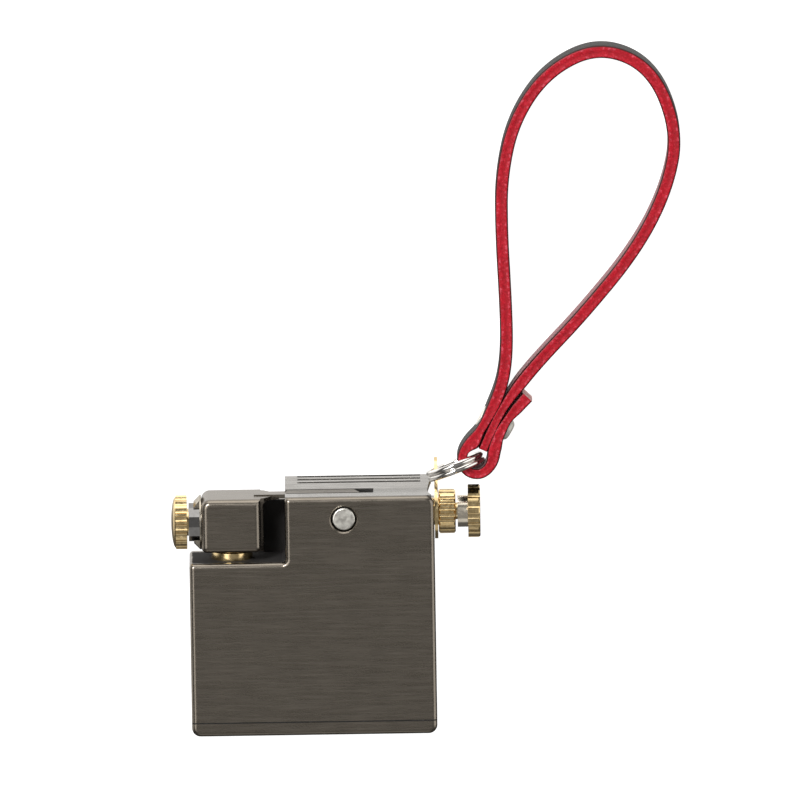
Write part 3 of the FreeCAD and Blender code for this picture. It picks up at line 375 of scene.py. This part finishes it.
def spline_points(route, resolution):
    """Points of the smooth curve whose control points are the route."""
    curve = bpy.data.curves.new("strap_line", "CURVE")
    curve.dimensions = "3D"
    spline = curve.splines.new("NURBS")
    spline.points.add(len(route) - 1)
    for point, (u, v) in zip(spline.points, route):
        point.co = (*plane_point(u, v), 1)
    spline.order_u = 3
    spline.use_endpoint_u = True
    spline.resolution_u = resolution
    holder = bpy.data.objects.new("strap_line", curve)
    mesh = bpy.data.meshes.new_from_object(holder)
    points = [v.co.copy() for v in mesh.vertices]
    bpy.data.objects.remove(holder)
    return points


strap_line = spline_points(STRAP_ROUTE, 24)

# The section's edge, from the outer face round to the inner one: (share of the half thickness,
# millimetres set back from the edge). The two ridges are at 0.66.
HALF_PROFILE = [(0.3, 0.05), (0.66, 0.0), (0.8, 0.02), (0.92, 0.14), (0.98, 0.34), (1.0, 0.6)]
EDGE_PROFILE = [(-share, back) for share, back in reversed(HALF_PROFILE)] + [(0.0, 0.07)] + HALF_PROFILE
FACE_STEP = 1.2 * MM        # from the strap's middle to the extra vertices on its two faces
BLACK_WRAP = 1              # faces of the edge's border that the outer face's black still covers
FULL, PRESSED = 1.18 * MM, 0.84 * MM
# (distance from the tail, outer half thickness, inner half thickness): the layers are pressed together at the
# rivet, the eye is thin on the ring's side and its left lobe is plump.
THICKNESS = [
    (0.0, 1.2 * MM, 1.2 * MM), (2.5 * MM, 1.15 * MM, 1.1 * MM), (5.5 * MM, PRESSED, PRESSED),
    (9.0 * MM, 0.95 * MM, 1.15 * MM), (11.5 * MM, 1.2 * MM, 1.3 * MM), (16.0 * MM, 1.25 * MM, 0.65 * MM),
    (20.0 * MM, 1.2 * MM, 0.66 * MM), (22.5 * MM, 1.15 * MM, 0.7 * MM), (25.0 * MM, 1.05 * MM, 1.75 * MM),
    (28.0 * MM, PRESSED, 0.95 * MM), (34.0 * MM, FULL, FULL),
]


# Distances from the inner end: pressed up to the first, full from the second.
INNER_PRESSED, INNER_FULL = 8 * MM, 15 * MM


def half_thickness(travelled, total):
    """(outer, inner) half thickness at a distance from the tail."""
    left = total - travelled
    if left < INNER_FULL:
        rise = smooth(left, INNER_PRESSED, INNER_FULL)
        return (PRESSED + (FULL - PRESSED) * rise,) * 2
    for (start, *low), (end, *high) in zip(THICKNESS, THICKNESS[1:]):
        if travelled < end:
            t = smooth(travelled, start, end)
            return tuple(a + (b - a) * t for a, b in zip(low, high))
    return FULL, FULL


def smooth(x, start, end):
    t = min(max((x - start) / (end - start), 0.0), 1.0)
    return t * t * (3 - 2 * t)


def strap_mesh(line):
    """A band swept along the line. Its outer side is on the line's right, going from the tail."""
    mesh = bpy.data.meshes.new("strap_band")
    bm = bmesh.new()
    layer = bm.verts.layers.float_vector.new("strap_uv")
    share_layer = bm.verts.layers.float.new("strap_share")
    section = [(share, STRAP_WIDTH / 2 - back * MM) for share, back in EDGE_PROFILE]
    section += [(1.0, FACE_STEP), (1.0, -FACE_STEP)]
    section += [(share, -w) for share, w in reversed(section[:len(EDGE_PROFILE)])]
    section += [(-1.0, -FACE_STEP), (-1.0, FACE_STEP)]
    count, edge_count = len(section), len(EDGE_PROFILE)
    rings, travelled = [], 0.0
    total = sum((b - a).length for a, b in zip(line, line[1:]))
    for i, point in enumerate(line):
        ahead, behind = line[min(i + 1, len(line) - 1)], line[max(i - 1, 0)]
        tangent = (ahead - behind).normalized()
        if i:
            travelled += (point - line[i - 1]).length
        inward = PLANE_W.cross(tangent).normalized()
        outer, inner = half_thickness(travelled, total)
        ring = []
        for share, w in section:
            reach = share * (inner if share > 0 else outer)
            vert = bm.verts.new(point - inward * reach + PLANE_W * w)
            vert[layer] = (travelled, reach, w)
            vert[share_layer] = share
            ring.append(vert)
        rings.append(ring)
    for a, b in zip(rings, rings[1:]):
        for k in range(count):
            face = bm.faces.new((a[k], a[(k + 1) % count], b[(k + 1) % count], b[k]))
            face.smooth = True
            on_front = k < edge_count - 1
            on_back = edge_count + 2 <= k < 2 * edge_count + 1
            if on_front:
                face.material_index = 1 if k < BLACK_WRAP else 0
            elif on_back:
                face.material_index = 1 if k >= 2 * edge_count + 1 - BLACK_WRAP else 0
            elif k < edge_count + 2:
                face.material_index = 2
            else:
                face.material_index = 1
    for ring in (rings[0], rings[-1]):
        cap = bm.faces.new(ring)
        cap.material_index = 3
    bmesh.ops.recalc_face_normals(bm, faces=bm.faces[:])
    bm.to_mesh(mesh)
    bm.free()
    for leather in (leather_edge, leather_grain, leather_lining, leather_cut):
        mesh.materials.append(leather().material)
    return mesh


strap = bpy.data.objects.new("strap_band", strap_mesh(strap_line))
bpy.context.scene.collection.objects.link(strap)
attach(strap, "wrist_strap")
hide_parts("strap")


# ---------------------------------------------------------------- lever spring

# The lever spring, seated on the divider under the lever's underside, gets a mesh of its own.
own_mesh(frame["nodes"]["lever_spring"])


# ---------------------------------------------------------------- floor, light and camera

FLOOR_HALF = 4.0
FLOOR_LEVEL = -0.2 * MM


def floor():
    """A white sheet that only the camera sees, so that it stays plain."""
    mesh = bpy.data.meshes.new("floor")
    bm = bmesh.new()
    corners = ((-1, -1), (1, -1), (1, 1), (-1, 1))
    bm.faces.new([bm.verts.new((x * FLOOR_HALF, y * FLOOR_HALF, FLOOR_LEVEL)) for x, y in corners])
    bm.to_mesh(mesh)
    bm.free()
    material = Shader("floor", Roughness=0.8, Emission_Strength=0.97)
    material.bsdf.inputs["Emission Color"].default_value = (1, 1, 1, 1)
    material.bsdf.inputs["Base Color"].default_value = (0.35, 0.35, 0.35, 1)
    mesh.materials.append(material.material)
    obj = bpy.data.objects.new("floor", mesh)
    bpy.context.scene.collection.objects.link(obj)
    obj.visible_glossy = False
    obj.visible_diffuse = False
    obj.visible_shadow = False


floor()


# Direction, half angles in degrees where the glow is full and where it has faded, and level.
STUDIO_BASE = 0.1
STUDIO_GLOWS = [
    ((0, -0.19, 0.98), 5, 60, 0.17),
    ((0, 0.75, -0.66), 46, 66, 1.0),
    ((0, 1, 0.15), 16, 32, 1.6),
    ((0, -0.9, 0.45), 8, 20, 0.5),
    ((-0.5, 0.05, 0.85), 10, 22, 2.6),
    ((-0.85, 0.1, -0.35), 18, 40, 1.1),
    ((0.9, 0.1, 0.4), 22, 36, 1.5),
]


def world():
    """A studio by direction: dim in front, a white sweep behind the top, softboxes beside and above."""
    w = bpy.data.worlds.new("studio")
    w.use_nodes = True
    bpy.context.scene.world = w
    tree = w.node_tree
    tree.nodes.clear()
    out = tree.nodes.new("ShaderNodeOutputWorld")
    back = tree.nodes.new("ShaderNodeBackground")
    coords = tree.nodes.new("ShaderNodeTexCoord")
    direction = coords.outputs["Generated"]
    path = tree.nodes.new("ShaderNodeLightPath")

    def glow(towards, inner, outer, level):
        """Level inside a cone of half angle inner round a direction, fading to none at outer."""
        dot = tree.nodes.new("ShaderNodeVectorMath")
        dot.operation = "DOT_PRODUCT"
        dot.inputs[1].default_value = Vector(towards).normalized()
        fade = tree.nodes.new("ShaderNodeMapRange")
        fade.interpolation_type = "SMOOTHSTEP"
        numbers = (math.cos(math.radians(outer)), math.cos(math.radians(inner)), 0.0, level)
        for socket, number in zip(RANGE_SOCKETS, numbers):
            fade.inputs[socket].default_value = number
        tree.links.new(direction, dot.inputs[0])
        tree.links.new(dot.outputs["Value"], fade.inputs["Value"])
        return fade.outputs[0]

    base = tree.nodes.new("ShaderNodeValue")
    base.outputs[0].default_value = STUDIO_BASE
    total = base.outputs[0]
    for towards, inner, outer, level in STUDIO_GLOWS:
        part = glow(towards, inner, outer, level)
        plus = tree.nodes.new("ShaderNodeMath")
        plus.operation = "ADD"
        tree.links.new(total, plus.inputs[0])
        tree.links.new(part, plus.inputs[1])
        total = plus.outputs[0]
    seen = tree.nodes.new("ShaderNodeMix")
    seen.data_type = "FLOAT"
    tree.links.new(path.outputs["Is Camera Ray"], seen.inputs[0])
    tree.links.new(total, seen.inputs[2])
    seen.inputs[3].default_value = 1.0
    back.inputs["Color"].default_value = (1.0, 0.985, 0.96, 1)
    tree.links.new(seen.outputs[0], back.inputs["Strength"])
    tree.links.new(back.outputs[0], out.inputs["Surface"])


world()


def area_light(name, place, target, size, watts, colour=(1, 1, 1)):
    data = bpy.data.lights.new(name, "AREA")
    data.shape = "RECTANGLE"
    data.size, data.size_y = size
    data.energy = watts
    data.color = colour
    obj = bpy.data.objects.new(name, data)
    bpy.context.scene.collection.objects.link(obj)
    obj.location = place
    obj.rotation_mode = "QUATERNION"
    obj.rotation_quaternion = (Vector(target) - Vector(place)).to_track_quat("-Z", "Y")


area_light("key", (-0.35, 0.5, 0.8), (0.02, 0.04, 0.0), (0.25, 0.25), 7.2)


CAMERA_TARGET = Vector((0.01655, 0.04026, 0.013))
CAMERA_HEIGHT = math.radians(11.0)
CAMERA_ROLL = math.radians(0.88)
CAMERA_DISTANCE = 6.1
CAMERA_LENS = 1500.0        # a long lens, since the picture shows hardly any perspective


def camera():
    data = bpy.data.cameras.new("camera")
    data.sensor_width = 36.0
    data.lens = CAMERA_LENS
    data.clip_start, data.clip_end = 0.5, 50.0
    obj = bpy.data.objects.new("camera", data)
    bpy.context.scene.collection.objects.link(obj)
    back = Vector((0, math.sin(CAMERA_HEIGHT), math.cos(CAMERA_HEIGHT)))
    level = Vector((0, math.cos(CAMERA_HEIGHT), -math.sin(CAMERA_HEIGHT)))
    side = Vector((1, 0, 0))
    right = math.cos(CAMERA_ROLL) * side - math.sin(CAMERA_ROLL) * level
    up = math.sin(CAMERA_ROLL) * side + math.cos(CAMERA_ROLL) * level
    turn = Matrix((right, up, back)).transposed()
    obj.matrix_world = Matrix.Translation(CAMERA_TARGET + back * CAMERA_DISTANCE) @ turn.to_4x4()
    bpy.context.scene.camera = obj


camera()
bpy.context.scene.view_settings.view_transform = "Standard"
